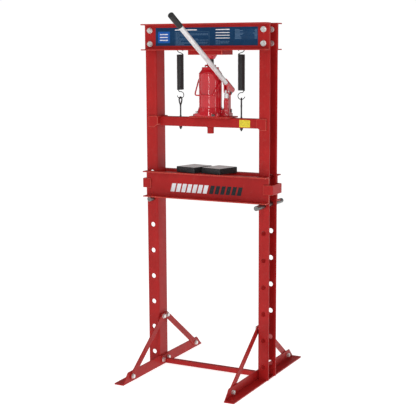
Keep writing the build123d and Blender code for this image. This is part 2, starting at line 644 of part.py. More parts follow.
def make_plunger():
    tang_x, tang_y = PLUNGER_TANG
    pivot_y, pivot_z = PLUNGER_PIVOT
    tang_start = pivot_z - 10
    part = rod_z(PUMP_X, PUMP_Y, PLUNGER_BOTTOM, tang_start, PLUNGER_R)
    tang = block(PUMP_X - tang_x / 2, PUMP_X + tang_x / 2, PUMP_Y - tang_y / 2, PUMP_Y + tang_y / 2,
                 tang_start, pivot_z)
    eye = rod_x(pivot_y, pivot_z, PUMP_X - tang_x / 2, PUMP_X + tang_x / 2, tang_y / 2)
    pin_half = CHEEK_GAP + CHEEK_THICK + 2.0
    pin = rod_x(pivot_y, pivot_z, PUMP_X - pin_half, PUMP_X + pin_half, PIVOT_R)
    return part + tang + eye + pin


nodes["pump_plunger"] = make_plunger()


def make_pump_link():
    x0, x1 = PUMP_X - LINK_THICK / 2, PUMP_X + LINK_THICK / 2
    part = block(x0, x1, FULCRUM[0] - LINK_R, FULCRUM[0] + LINK_R, LINK_FOOT_Z, FULCRUM[1])
    for z in (LINK_FOOT_Z, FULCRUM[1]):
        part += rod_x(FULCRUM[0], z, x0, x1, LINK_R)
    for z in (LINK_FOOT_Z, FULCRUM[1]):
        part -= rod_x(FULCRUM[0], z, x0 - 1, x1 + 1, PIVOT_R + RUN_GAP)
    return part


nodes["pump_link"] = make_pump_link()

pin_end = CHEEK_GAP + CHEEK_THICK + 2
link_pins = []
for z in (LINK_FOOT_Z, FULCRUM[1]):
    pin = rod_x(FULCRUM[0], z, PUMP_X - pin_end, PUMP_X + pin_end, PIVOT_R)
    link_pins.append(pin + rod_x(FULCRUM[0], z, PUMP_X + pin_end - 1.5, PUMP_X + pin_end + 0.5, PIVOT_R + 2))
nodes["link_pins"] = group(link_pins)

# ---- handle ------------------------------------------------------------------
tilt = math.radians(HANDLE_TILT)
handle_dir = (0, -math.cos(tilt), math.sin(tilt))


def along_handle(s):
    """Point on the handle's axis, s from the mouth of the socket."""
    return (PUMP_X, HANDLE_START[0] + s * handle_dir[1], HANDLE_START[1] + s * handle_dir[2])


def handle_rod(s0, s1, r):
    return extrude(Plane(along_handle(s0), z_dir=handle_dir) * Circle(r), amount=s1 - s0)


def make_socket():
    """Tube that takes the handle, between two cheeks with the lever's pin holes."""
    part = handle_rod(-SOCKET_LENGTH, 0, SOCKET_R)
    mouth = Plane(along_handle(0), x_dir=(1, 0, 0), z_dir=handle_dir)
    lip = extrude(mouth * Circle(SOCKET_R), amount=SOCKET_LIP)
    part += lip & mouth * Pos(0, SOCKET_R, SOCKET_LIP / 2) * Box(30, 16, SOCKET_LIP)
    rear_y, rear_z = along_handle(-SOCKET_LENGTH)[1:]
    front_y = PLUNGER_PIVOT[0] - LINK_R
    for side in (-1, 1):
        x0 = PUMP_X + min(side * CHEEK_GAP, side * (CHEEK_GAP + CHEEK_THICK))
        x1 = x0 + CHEEK_THICK
        part += yz_plate(x0, x1, [
            (front_y, PLUNGER_PIVOT[1]), (front_y, HANDLE_START[1] - 8), HANDLE_START, (rear_y, rear_z),
            (rear_y - 3, rear_z - 6), (FULCRUM[0] + LINK_R, FULCRUM[1]), (FULCRUM[0], FULCRUM[1] - LINK_R),
            (PLUNGER_PIVOT[0] + 11, PLUNGER_PIVOT[1] - LINK_R),
            (PLUNGER_PIVOT[0], PLUNGER_PIVOT[1] - LINK_R)])
        part += rod_x(*PLUNGER_PIVOT, x0, x1, LINK_R)
        part += rod_x(*FULCRUM, x0, x1, LINK_R)
    part -= handle_rod(-HANDLE_IN - 1, SOCKET_LIP + 5, HANDLE_R + RUN_GAP)
    part -= rod_x(*FULCRUM, PUMP_X - 20, PUMP_X + 20, PIVOT_R + RUN_GAP)
    # the plunger's pin needs room as the lever swings
    for shift in (-PIN_SLOT, 0, PIN_SLOT):
        part -= rod_x(PLUNGER_PIVOT[0] + shift, PLUNGER_PIVOT[1],
                      PUMP_X - 20, PUMP_X + 20, PIVOT_R + PIN_PLAY)
    return part


nodes["handle_socket"] = make_socket()

handle_tube = handle_rod(-HANDLE_IN, GRIP_END - 4, HANDLE_R)
nodes["handle_tube"] = handle_tube - handle_rod(-HANDLE_IN - 1, GRIP_END - 3, HANDLE_R - HANDLE_WALL)
grip = handle_rod(GRIP_START, GRIP_END, GRIP_R)
grip = fillet(grip.edges().filter_by(GeomType.CIRCLE), 2)
nodes["handle_grip"] = grip - handle_rod(GRIP_START - 1, GRIP_END - 4, HANDLE_R)


# ---- small jack pieces -------------------------------------------------------
def make_bail():
    bar_y, bar_z = BAIL_BAR
    corners = [(-BAIL_END_X, 0, BAIL_PIVOT_Z), (-BAIL_X, 0, BAIL_PIVOT_Z), (-BAIL_BAR_X, bar_y, bar_z),
               (BAIL_BAR_X, bar_y, bar_z), (BAIL_X, 0, BAIL_PIVOT_Z), (BAIL_END_X, 0, BAIL_PIVOT_Z)]
    path = FilletPolyline(*corners, radius=(BAIL_EAR_BEND, BAIL_BEND, BAIL_BEND, BAIL_EAR_BEND))
    profile = Plane(origin=path @ 0, z_dir=path % 0) * Circle(BAIL_R)
    return sweep(profile, path=path)


nodes["carry_bail"] = make_bail()

valve = rod_y(VALVE_X, VALVE_Z, -66, -36, VALVE_R)
valve -= block(VALVE_X - 1.2, VALVE_X + 1.2, -67, -62, VALVE_Z - 10, VALVE_Z + 10)
nodes["release_valve"] = valve + rod_x(-59, VALVE_Z, VALVE_X - 9, VALVE_X + 9, 1.8)

nodes["hold_down_bolt"] = Pos(LUG_X, 0, BASE_PLATE_TOP) * bolt(M8, HOLD_DOWN_LENGTH)

# ---- labels ------------------------------------------------------------------
nodes["name_plate"] = block(-237, 239, -UPRIGHT_HALF - STEEL - 0.5, -UPRIGHT_HALF - STEEL, 1409, 1484)
nodes["beam_label"] = block(144, 193, -BEAM_SIZE / 2 - 0.4, -BEAM_SIZE / 2, 1074, 1104)

os.makedirs("parts", exist_ok=True)
for name, shape in nodes.items():
    shape.label = name
    export_step(shape, f"parts/{name}.step")
print(len(nodes), "nodes")
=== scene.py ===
import json
import math
import random

import bmesh
import bpy
from mathutils import Matrix, Vector, noise


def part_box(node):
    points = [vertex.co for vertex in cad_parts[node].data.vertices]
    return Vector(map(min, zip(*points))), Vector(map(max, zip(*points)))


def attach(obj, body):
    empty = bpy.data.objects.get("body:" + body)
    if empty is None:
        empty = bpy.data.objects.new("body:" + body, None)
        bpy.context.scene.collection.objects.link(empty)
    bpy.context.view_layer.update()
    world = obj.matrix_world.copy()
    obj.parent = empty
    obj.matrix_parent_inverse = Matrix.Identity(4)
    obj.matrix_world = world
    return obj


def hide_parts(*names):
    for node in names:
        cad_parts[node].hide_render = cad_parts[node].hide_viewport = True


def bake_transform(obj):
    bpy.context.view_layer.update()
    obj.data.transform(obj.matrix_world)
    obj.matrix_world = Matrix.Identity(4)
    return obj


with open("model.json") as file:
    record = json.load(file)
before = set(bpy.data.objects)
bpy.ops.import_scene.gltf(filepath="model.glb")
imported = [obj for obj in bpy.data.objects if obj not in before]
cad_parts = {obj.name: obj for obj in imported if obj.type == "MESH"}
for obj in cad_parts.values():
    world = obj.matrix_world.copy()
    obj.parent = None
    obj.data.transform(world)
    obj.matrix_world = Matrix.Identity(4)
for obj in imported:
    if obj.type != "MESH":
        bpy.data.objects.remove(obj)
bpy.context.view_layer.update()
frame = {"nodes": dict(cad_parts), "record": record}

NODES = frame["nodes"]
BODY_OF = {n: b for b, names in frame["record"]["behaviour"]["bodies"].items() for n in names}
MM = 0.001
noise.seed_set(11)                          # or the weld beads would differ from run to run


# ---- shader building blocks ---------------------------------------------------
class Surface:
    """A principled material and the few node chains that the finishes share."""

    def __init__(self, name, **sockets):
        self.material = bpy.data.materials.new(name)
        self.material.use_nodes = True
        self.tree = self.material.node_tree
        self.shader = self.tree.nodes["Principled BSDF"]
        self.place = self.new("ShaderNodeTexCoord").outputs["Object"]
        for key, value in sockets.items():
            self.shader.inputs[key.replace("_", " ")].default_value = value

    def new(self, kind, **inputs):
        node = self.tree.nodes.new(kind)
        for key, value in inputs.items():
            self.feed(node.inputs[key], value)
        return node

    def feed(self, socket, value):
        if isinstance(value, bpy.types.NodeSocket):
            self.tree.links.new(value, socket)
        else:
            socket.default_value = value

    def set(self, name, value):
        self.feed(self.shader.inputs[name], value)

    def stretched(self, scale, turn=(0, 0, 0)):
        return self.new("ShaderNodeMapping", Vector=self.place, Scale=scale, Rotation=turn).outputs["Vector"]

    def noise(self, scale, detail=3.0, rough=0.55, at=None):
        node = self.new("ShaderNodeTexNoise", Vector=at or self.place, Scale=scale, Detail=detail,
                        Roughness=rough)
        return node.outputs["Fac"]

    def span(self, value, low, high, to_low=0.0, to_high=1.0):
        """Takes value from the range low..high to to_low..to_high, clamped."""
        node = self.new("ShaderNodeMapRange")
        node.clamp = True
        for i, v in enumerate((value, low, high, to_low, to_high)):
            self.feed(node.inputs[i], v)
        return node.outputs["Result"]

    def mix(self, amount, a, b):
        node = self.tree.nodes.new("ShaderNodeMix")
        node.data_type = "RGBA"
        self.feed(node.inputs[0], amount)
        self.feed(node.inputs[6], a if isinstance(a, bpy.types.NodeSocket) else (*a, 1))
        self.feed(node.inputs[7], b if isinstance(b, bpy.types.NodeSocket) else (*b, 1))
        return node.outputs[2]

    def maths(self, kind, a, b=0.0):
        node = self.tree.nodes.new("ShaderNodeMath")
        node.operation = kind
        self.feed(node.inputs[0], a)
        self.feed(node.inputs[1], b)
        return node.outputs[0]

    def bump(self, *layers):
        """Each layer is (height, depth in mm)."""
        normal = None
        for height, depth in layers:
            node = self.new("ShaderNodeBump", Height=height, Distance=depth * MM, Strength=1.0)
            if normal is not None:
                self.feed(node.inputs["Normal"], normal)
            normal = node.outputs["Normal"]
        self.set("Normal", normal)


def scaled(colour, k):
    return tuple(min(1.0, c * k) for c in colour)


def paint(name, colour, rough, peel, coat=0.14, coat_rough=0.25, chips=0.0, relief=1.0):
    """Sprayed paint: soft orange peel, slight mottling, dust, fine rubs, and chips where asked."""
    s = Surface(name, Coat_Weight=coat, Coat_Roughness=coat_rough, Specular_IOR_Level=0.10)
    mottle = s.span(s.noise(9, 4), 0.3, 0.7)
    body = s.mix(mottle, scaled(colour, 0.88), scaled(colour, 1.1))
    streak = s.noise(14, 3, at=s.stretched((6, 6, 0.6)))
    body = s.mix(s.span(streak, 0.55, 0.75, 0, 0.25), body, scaled(colour, 0.7))
    dust = s.maths("MULTIPLY", s.span(s.noise(60, 5, 0.7), 0.55, 0.8), 0.10)
    body = s.mix(dust, body, (0.42, 0.22, 0.18))
    rub = s.span(s.noise(130, 2, at=s.stretched((1, 1, 14), (0.5, 0.3, 0.2))), 0.66, 0.72)
    rub = s.maths("MULTIPLY", rub, s.span(s.noise(7, 2), 0.55, 0.65, 0, 0.35))
    body = s.mix(rub, body, scaled(colour, 1.5))
    heights = [(s.noise(peel, 2, 0.5), 0.05 * relief), (s.noise(peel * 0.22, 2), 0.10 * relief)]
    rough_value = s.span(s.noise(35, 4), 0.3, 0.7, rough - 0.06, rough + 0.08)
    if chips:
        worn = s.span(s.noise(170, 4, 0.7), 0.62 - chips, 0.64 - chips)
        body = s.mix(worn, body, (0.10, 0.085, 0.08))
        heights.append((s.maths("SUBTRACT", 1.0, worn), 0.06))
    s.set("Base Color", body)
    s.set("Roughness", rough_value)
    s.bump(*heights)
    return s.material


def metal(name, colour, rough, grain=(1, 1, 1), grain_scale=400, stain=None, stain_amount=0.3, metallic=1.0):
    """Bare or plated metal: directional grain, uneven sheen, stains and fine scratches."""
    s = Surface(name, Metallic=metallic)
    cloud = s.span(s.noise(28, 4), 0.32, 0.68)
    body = s.mix(cloud, scaled(colour, 0.82), scaled(colour, 1.1))
    lines = s.noise(grain_scale, 3, 0.6, at=s.stretched(grain))
    body = s.mix(s.span(lines, 0.35, 0.65, 0, 0.25), body, scaled(colour, 0.6))
    if stain:
        patch = s.span(s.noise(55, 5, 0.65), 0.52, 0.72, 0, stain_amount)
        body = s.mix(patch, body, stain)
    scratch = s.span(s.noise(90, 1, at=s.stretched((1, 22, 1), (0.4, 0.2, 0.9))), 0.68, 0.7)
    body = s.mix(s.maths("MULTIPLY", scratch, 0.4), body, scaled(colour, 1.5))
    s.set("Base Color", body)
    s.set("Roughness", s.span(lines, 0.3, 0.7, rough - 0.08, rough + 0.12))
    s.bump((lines, 0.02), (s.noise(70, 3), 0.05))
    return s.material


RED = (0.42, 0.0150, 0.0145)
JACK_RED = (0.56, 0.008, 0.018)

red_paint = paint("red_paint", RED, 0.42, 520)
# lighter, more orange colour for the bevel faces: a painted highlight along the rounded edges, with real
# chips of wear
red_edge_highlight_chipped = paint("red_paint_edge_highlight_chipped", (0.66, 0.125, 0.085), 0.34, 520, coat=0.3, chips=0.02)
jack_paint = paint("jack_paint", JACK_RED, 0.30, 420, coat=1.0, coat_rough=0.03, relief=0.12)
# lighter, more orange colour for the bevel faces of the jack: a painted highlight along its rounded edges,
# with real chips of wear
jack_edge_highlight_chipped = paint("jack_paint_edge_highlight_chipped", (0.70, 0.055, 0.05), 0.30, 420, coat=0.5, coat_rough=0.12, chips=0.015)
zinc = metal("zinc", (0.86, 0.87, 0.85), 0.27, stain=(0.46, 0.42, 0.32), stain_amount=0.35, metallic=0.75)
dark_steel = metal("dark_steel", (0.24, 0.235, 0.23), 0.36, (1, 0.05, 1), 500, (0.10, 0.05, 0.03), 0.5)
bright_steel = metal("bright_steel", (0.84, 0.84, 0.84), 0.36, (1, 0.04, 1), 700,
                     (0.62, 0.62, 0.62), 0.25, 0.35)
black_steel = metal("black_steel", (0.060, 0.060, 0.062), 0.42, (1, 1, 1), 600, (0.06, 0.05, 0.045), 0.4, 0.6)
weld_paint = paint("weld_paint", scaled(RED, 0.85), 0.42, 900)


def make_block_steel():
    """Flame-cut charcoal sides and a lighter top, bright from grinding and also from painted sheen: its
    near-white tone stands in for the top's reflection of the lights.
    """
    s = Surface("block_steel")
    up = s.new("ShaderNodeSeparateXYZ", Vector=s.new("ShaderNodeTexCoord").outputs["Normal"]).outputs["Z"]
    # top faces, picked by their normal, get the near-white colour: partly the grinding, partly painted sheen
    top = s.span(up, 0.80, 0.95)
    lines = s.noise(420, 2, 0.6, at=s.stretched((1, 0.03, 1), (0, 0, math.radians(-14))))
    ground_top_and_sheen = s.mix(s.span(lines, 0.3, 0.7), (0.80, 0.80, 0.80), (0.95, 0.95, 0.94))
    ground_top_and_sheen = s.mix(s.span(s.noise(40, 5, 0.7), 0.55, 0.75, 0, 0.35), ground_top_and_sheen, (0.52, 0.50, 0.47))
    scale = s.mix(s.span(s.noise(90, 5, 0.7), 0.35, 0.7), (0.018, 0.019, 0.021), (0.06, 0.06, 0.062))
    s.set("Base Color", s.mix(top, scale, ground_top_and_sheen))
    s.set("Metallic", s.span(top, 0.0, 1.0, 0.6, 0.15))
    s.set("Roughness", s.mix(top, (0.52, 0.52, 0.52), (0.36, 0.36, 0.36)))
    s.bump((lines, 0.02), (s.noise(160, 4, 0.7), 0.08))
    return s.material


def make_rubber():
    s = Surface("grip_rubber", Specular_IOR_Level=0.35)
    body = s.mix(s.span(s.noise(120, 4, 0.7), 0.4, 0.75), (0.014, 0.014, 0.015), (0.035, 0.034, 0.033))
    s.set("Base Color", body)
    s.set("Roughness", s.span(s.noise(60, 4), 0.3, 0.7, 0.5, 0.72))
    s.bump((s.noise(1500, 2), 0.03), (s.noise(260, 3), 0.05))
    return s.material


def print_film(name, colour):
    """Printed label film: faint mottle, light scuffs, a slight sheen."""
    s = Surface(name, Specular_IOR_Level=0.15)
    body = s.mix(s.span(s.noise(45, 4), 0.3, 0.7), scaled(colour, 0.88), scaled(colour, 1.08))
    rub = s.span(s.noise(160, 2, at=s.stretched((1, 1, 9), (0, 0.5, 0))), 0.66, 0.72, 0, 0.18)
    s.set("Base Color", s.mix(rub, body, (0.5, 0.5, 0.52)))
    s.set("Roughness", s.span(s.noise(30, 3), 0.3, 0.7, 0.32, 0.46))
    s.bump((s.noise(500, 2), 0.015))
    return s.material


block_steel = make_block_steel()
rubber = make_rubber()
label_blue = print_film("label_blue", (0.004, 0.043, 0.12))
label_light = print_film("label_light_blue", (0.010, 0.11, 0.46))
label_text = print_film("label_text", (0.10, 0.19, 0.32))
label_white = print_film("label_white", (0.85, 0.87, 0.90))
label_yellow = print_film("label_yellow", (0.86, 0.72, 0.05))
print_dark = print_film("print_dark", (0.02, 0.022, 0.026))

# each slot gives (faces, bevel faces); the two paints use a lighter colour on the bevel faces as a painted
# edge highlight
SLOT_MATERIAL = {
    "red_paint": (red_paint, red_edge_highlight_chipped), "jack_paint": (jack_paint, jack_edge_highlight_chipped), "zinc": (zinc, zinc),
    "dark_steel": (dark_steel, dark_steel), "black_steel": (black_steel, black_steel),
    "bright_steel": (bright_steel, bright_steel), "grip_rubber": (rubber, rubber),
    "block_steel": (block_steel, block_steel), "label_blue": (label_blue, label_blue),
    "label_yellow": (label_yellow, label_yellow)}
SLOT_OF = {p["node"]: p["material_slot"] for p in frame["record"]["subparts"]}
SLOT_OF["release_valve"] = "dark_steel"     # the valve screw is duller than the other bare parts


# ---- mesh building blocks -----------------------------------------------------
def add_object(name, mesh, body, materials, angle=40.0, stands_for=()):
    """Links a mesh as a piece of the object, riding on a body."""
    for material in materials:
        mesh.materials.append(material)
    mesh.polygons.foreach_set("use_smooth", [True] * len(mesh.polygons))
    mesh.set_sharp_from_angle(angle=math.radians(angle))
    piece = bpy.data.objects.new(name, mesh)
    bpy.context.scene.collection.objects.link(piece)
    if body:
        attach(piece, body)
    if stands_for:
        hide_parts(*stands_for)
    return piece


def tube(points, radius, sides=10, closed=False):
    """Vertices and faces of a round tube along points; radius is a number or one number per point."""
    points = [Vector(p) for p in points]
    radii = radius if isinstance(radius, (list, tuple)) else [radius] * len(points)
    count = len(points)
    verts, faces = [], []
    side = None
    for i, p in enumerate(points):
        before = points[i - 1] if i or closed else p
        after = points[(i + 1) % count] if i < count - 1 or closed else p
        ahead = (after - before).normalized()
        if side is None:
            side = ahead.orthogonal().normalized()
        side = (side - ahead * side.dot(ahead)).normalized()
        up = ahead.cross(side)
        for k in range(sides):
            a = 2 * math.pi * k / sides
            verts.append(p + (side * math.cos(a) + up * math.sin(a)) * radii[i])
    for i in range(count if closed else count - 1):
        a, b = i * sides, ((i + 1) % count) * sides
        for k in range(sides):
            n = (k + 1) % sides
            faces.append((a + k, a + n, b + n, b + k))
    if not closed:
        faces.append(tuple(reversed(range(sides))))
        faces.append(tuple(range((count - 1) * sides, count * sides)))
    return verts, faces


def mesh_from(name, *shapes):
    """One mesh from several (vertices, faces) pairs."""
    verts, faces = [], []
    for some_verts, some_faces in shapes:
        base = len(verts)
        verts.extend(some_verts)
        faces.extend(tuple(i + base for i in f) for f in some_faces)
    mesh = bpy.data.meshes.new(name)
    mesh.from_pydata([tuple(v) for v in verts], [], faces)
    mesh.update()
    return mesh


def bake_modifiers(piece):
    """Makes the modifiers part of the mesh."""
    graph = bpy.context.evaluated_depsgraph_get()
    done = bpy.data.meshes.new_from_object(piece.evaluated_get(graph), depsgraph=graph)
    piece.modifiers.clear()
    piece.data = done


def softened(node, width, segments=2, angle=35.0):
    """Stands for a CAD node with the same faces and its edges rounded by width, in mm."""
    source = NODES[node].data
    mesh = bpy.data.meshes.new(node + "_finished")
    mesh.from_pydata([v.co[:] for v in source.vertices], [], [p.vertices[:] for p in source.polygons])
    bm = bmesh.new()
    bm.from_mesh(mesh)
    bmesh.ops.remove_doubles(bm, verts=bm.verts, dist=2e-6)
    bmesh.ops.dissolve_limit(bm, angle_limit=math.radians(0.6), verts=bm.verts, edges=bm.edges)
    bm.to_mesh(mesh)
    bm.free()
    slot = SLOT_OF[node]
    piece = add_object(node + "_finished", mesh, None, SLOT_MATERIAL[slot])
    bevel = piece.modifiers.new("edges", "BEVEL")
    bevel.width = width * MM
    bevel.segments = segments
    bevel.limit_method = "ANGLE"
    bevel.angle_limit = math.radians(angle)
    bevel.use_clamp_overlap = True
    bevel.harden_normals = True
    bevel.miter_outer = "MITER_ARC"
    # bevel faces take slot 1, which for the paints is the painted edge highlight
    bevel.material = 1
    bake_modifiers(piece)
    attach(piece, BODY_OF[node])
    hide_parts(node)
    return piece


# ---- finish on the CAD nodes ---------------------------------------------------
for node, piece in NODES.items():
    plain = SLOT_MATERIAL[SLOT_OF[node]][0]
    for i in range(len(piece.material_slots)):
        piece.material_slots[i].material = plain

# bevel widths in mm; on painted parts they also set how wide the painted edge highlight reads
EDGE_WIDTH = {
    "upright_left": 1.3, "upright_right": 1.3, "head_beam_front": 1.3, "head_beam_rear": 1.3,
    "head_plate": 1.2, "foot_left": 1.3, "foot_right": 1.3, "tie_bar": 0.6,
    "brace_left_front": 0.8, "brace_left_rear": 0.8, "brace_right_front": 0.8, "brace_right_rear": 0.8,
    "bed_channel_front": 1.2, "bed_channel_rear": 1.2, "bed_strap_left": 1.1, "bed_strap_right": 1.1,
    "carriage_beam": 0.6, "carriage_guide_left": 1.2, "carriage_guide_right": 1.2, "jack_plate": 0.8,
    "punch": 0.6, "jack_base": 1.6, "jack_head": 1.2, "saddle": 0.8, "handle_socket": 0.9,
    "jack_ram": 0.5, "head_bolts": 0.35, "lower_bolts": 0.35}
for node, width in EDGE_WIDTH.items():
    softened(node, width)


# ---- return springs -------------------------------------------------------------
SPRING_X, COIL_R, WIRE_R = 144.0, 13.25, 1.75
HOOK_R, HOOK_TURN = 14.2, 27.0
HANGER_Z, HANGER_R, HOOK_GAP = 1402.0, 5.0, 0.35
EYE_TOP = 1182.0 + 11.0 - 3.2
COIL_BOTTOM, COIL_TURNS, COIL_PITCH = 1224.4, 41.5, 3.56
COIL_STEPS = 24                            # points in one turn
LOOP_SLOPE, COIL_SLOPE, JOIN_STEPS = 18.0, 30.0, 16   # of the bends between coil and loop


def hook_circle(angle, turn, z):
    """Point on an upright hook loop at a height, turned about the spring's axis; angles in degrees."""
    a, t = math.radians(angle), math.radians(turn)
    reach = HOOK_R * math.cos(a)
    return Vector((reach * math.cos(t), reach * math.sin(t), z + HOOK_R * math.sin(a)))


def hermite(p, dp, q, dq, steps):
    """Points on a smooth curve from p to q, without its two ends."""
    out = []
    for i in range(1, steps):
        t = i / steps
        a, b = 2 * t ** 3 - 3 * t ** 2 + 1, t ** 3 - 2 * t ** 2 + t
        c, d = -2 * t ** 3 + 3 * t ** 2, t ** 3 - t ** 2
        out.append(p * a + dp * b + q * c + dq * d)
    return out


def spring_wire(side):
    """Centre line of one spring, lower hook first, about its own axis."""
    lower_z = EYE_TOP - HOOK_GAP - WIRE_R + HOOK_R
    upper_z = HANGER_Z + HANGER_R + HOOK_GAP + WIRE_R - HOOK_R
    lower = [hook_circle(a, HOOK_TURN, lower_z) for a in range(-170, 101, 5)]
    upper = [hook_circle(a, 0.0, upper_z) for a in range(262, -36, -5)]
    coil = []
    steps = int(COIL_TURNS * COIL_STEPS)
    for i in range(steps + 1):
        a = math.pi + 2 * math.pi * COIL_TURNS * i / steps
        z = COIL_BOTTOM + COIL_PITCH * COIL_TURNS * i / steps
        coil.append(Vector((COIL_R * math.cos(a), COIL_R * math.sin(a), z)))
    start, end = coil[0], coil[-1]
    leave_loop = (lower[-1] - lower[-2]).normalized() * LOOP_SLOPE
    enter_loop = (upper[1] - upper[0]).normalized() * LOOP_SLOPE
    line = lower + hermite(lower[-1], leave_loop, start, Vector((0, -COIL_SLOPE, 1)), JOIN_STEPS)
    line += coil + hermite(end, Vector((0, COIL_SLOPE, 1)), upper[0], enter_loop, JOIN_STEPS) + upper
    turn = Matrix.Rotation(math.pi if side > 0 else 0.0, 3, "Z")
    return [(turn @ p + Vector((side * SPRING_X, 0, 0))) * MM for p in line]


for side, word in ((-1, "left"), (1, "right")):
    mesh = mesh_from("spring_" + word, tube(spring_wire(side), WIRE_R * MM, 10))
    spring = add_object("spring_wire_" + word, mesh, None, [black_steel], 60)
    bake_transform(spring)
    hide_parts("return_spring_" + word)


# ---- threads --------------------------------------------------------------------
def threaded_rod(x, y, z0, z1, radius, pitch, depth, tip=0.0, sides=40):
    """Rod with a real helical thread between two heights, in mm."""
    rows = int((z1 - z0) / pitch * 8)
    verts, faces = [], []
    for i in range(rows + 1):
        z = z0 + (z1 - z0) * i / rows
        ends = min(1.0, (z - z0 + 0.01) / pitch, (z1 - z + 0.01) / pitch)
        for k in range(sides):
            a = 2 * math.pi * k / sides
            phase = ((z / pitch - k / sides) % 1.0)
            groove = depth * (1 - abs(2 * phase - 1)) * max(0.0, ends)
            r = radius - groove - max(0.0, tip - (z - z0)) * 0.6
            verts.append(Vector((x + r * math.cos(a), y + r * math.sin(a), z)) * MM)
    for i in range(rows):
        for k in range(sides):
            n = (k + 1) % sides
            faces.append((i * sides + k, i * sides + n, (i + 1) * sides + n, (i + 1) * sides + k))
    faces.append(tuple(reversed(range(sides))))
    faces.append(tuple(range(rows * sides, (rows + 1) * sides)))
    return verts, faces


SCREW_R, SCREW_PITCH, SCREW_DEPTH = 15.4, 3.2, 1.5
SCREW_NECK_R, SCREW_NECK = 9.0, 10.0       # plain top of the extension screw
EYE_ROD_R, EYE_WIRE_R = 4.0, 3.2
EYE_TURNS = ((-1, -2.0), (1, 27.0))        # side, turn of the eye in degrees
EYE_OUTLINE = [(0, 1193.0), (7.81, 1189.81), (11.0, 1182.0), (9.24, 1173.5), (4.62, 1165.5), (0, 1161.5),
               (-4.62, 1165.5), (-9.24, 1173.5), (-11.0, 1182.0), (-7.81, 1189.81)]


def smooth_loop(outline, steps):
    """Closed Catmull-Rom curve through 2-D points."""
    out = []
    n = len(outline)
    for i in range(n):
        p0, p1, p2, p3 = (Vector(outline[(i + k) % n]) for k in (-1, 0, 1, 2))
        for j in range(steps):
            t = j / steps
            out.append(0.5 * (2 * p1 + (p2 - p0) * t + (2 * p0 - 5 * p1 + 4 * p2 - p3) * t * t
                              + (3 * p1 - p0 - 3 * p2 + p3) * t ** 3))
    return out


low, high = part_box("extension_screw")
screw_top = high.z / MM
neck_z = screw_top - SCREW_NECK
mesh = mesh_from("extension_screw_thread",
                 threaded_rod(0, 0, low.z / MM, neck_z, SCREW_R, SCREW_PITCH, SCREW_DEPTH),
                 threaded_rod(0, 0, neck_z, screw_top, SCREW_NECK_R, 20, 0))
add_object("extension_screw_thread", mesh, "screw", [black_steel], 50, ("extension_screw",))

parts = [threaded_rod(side * SPRING_X, 0, 1056.0, 1069.5, EYE_ROD_R, 1.25, 0.55, 2.0, 24) for side in (-1, 1)]
for side, turn in EYE_TURNS:
    spin = Matrix.Rotation(math.radians(turn), 3, "Z")
    axis = Vector((side * SPRING_X, 0, 0))
    ring = [(spin @ Vector((0, y, z)) + axis) * MM for y, z in smooth_loop(EYE_OUTLINE, 8)]
    parts.append(tube(ring, EYE_WIRE_R * MM, 12, closed=True))
    stem = [(1069.0, EYE_ROD_R), (1116.0, EYE_ROD_R), (1117.0, 3.3), (1154.0, 3.3), (1158.0, 3.6),
            (1162.0, 4.4), (1164.5, 3.6)]
    line = [Vector((side * SPRING_X, 0, z)) * MM for z, _ in stem]
    parts.append(tube(line, [r * MM for _, r in stem], 16))
mesh = mesh_from("eye_bolt_rods", *parts)
add_object("eye_bolt_rods", mesh, "carriage", [black_steel], 50, ("eye_bolts",))


# ---- handle grip ------------------------------------------------------------------
HANDLE_TILT = 29.6                          # degrees above level
HANDLE_ORIGIN = (72.0, 1.0, 1255.5)
GRIP_START, GRIP_END = 456.0, 538.0         # along the handle
GRIP_RIBS, GRIP_RIB_HEIGHT, GRIP_SIDES = 16, 0.55, 96


def make_grip():
    """Moulded sleeve with lengthwise ribs, a flange at each end and a domed cap."""
    tilt = math.radians(HANDLE_TILT)
    ahead = Vector((0, -math.cos(tilt), math.sin(tilt)))
    across = Vector((1, 0, 0))
    up = ahead.cross(across).normalized()
    origin = Vector(HANDLE_ORIGIN)
    start, end = GRIP_START, GRIP_END
    profile = [(start, 10.4), (start, 11.6), (start + 1, 12.0), (start + 3, 12.0), (start + 4, 11.3)]
    profile += [(start + 5 + i * 3.0, 11.4) for i in range(24)]
    profile += [(end - 5, 11.3), (end - 4, 12.0), (end - 2, 12.0), (end - 0.8, 10.5), (end - 0.2, 7.5),
                (end, 3.0)]
    sides = GRIP_SIDES
    verts, faces = [], []
    for s, r in profile:
        ribbed = start + 4.5 < s < end - 5.5
        for k in range(sides):
            a = 2 * math.pi * k / sides
            rib = GRIP_RIB_HEIGHT * max(0.0, math.cos(a * GRIP_RIBS)) ** 0.5 if ribbed else 0.0
            p = origin + ahead * s + (across * math.cos(a) + up * math.sin(a)) * (r + rib)
            verts.append(p * MM)
    rings = len(profile)
    for i in range(rings - 1):
        for k in range(sides):
            n = (k + 1) % sides
            faces.append((i * sides + k, (i + 1) * sides + k, (i + 1) * sides + n, i * sides + n))
    faces.append(tuple(range(sides)))
    faces.append(tuple(reversed(range((rings - 1) * sides, rings * sides))))
    return mesh_from("handle_grip_ribbed", (verts, faces))


add_object("handle_grip_ribbed", make_grip(), "handle", [rubber], 35, ("handle_grip",))


# ---- welds --------------------------------------------------------------------------
def bead(start, end, radius=2.2, seed=1):
    """Weld bead along a straight seam, in mm: a lumpy run with the ripple of each pass."""
    start, end = Vector(start), Vector(end)
    length = (end - start).length
    steps = max(6, int(length / 0.7))
    points, radii = [], []
    for i in range(steps + 1):
        t = i / steps
        p = start.lerp(end, t)
        wobble = noise.noise_vector(p * 0.12 + Vector((seed, 0, 0))) * 0.45
        ripple = 0.16 * math.sin(2 * math.pi * t * length / 2.6)
        taper = min(1.0, 0.35 + min(t, 1 - t) * length / 3.0)
        points.append((p + wobble) * MM)
        radii.append((radius + ripple) * taper * MM)
    return tube(points, radii, 10)


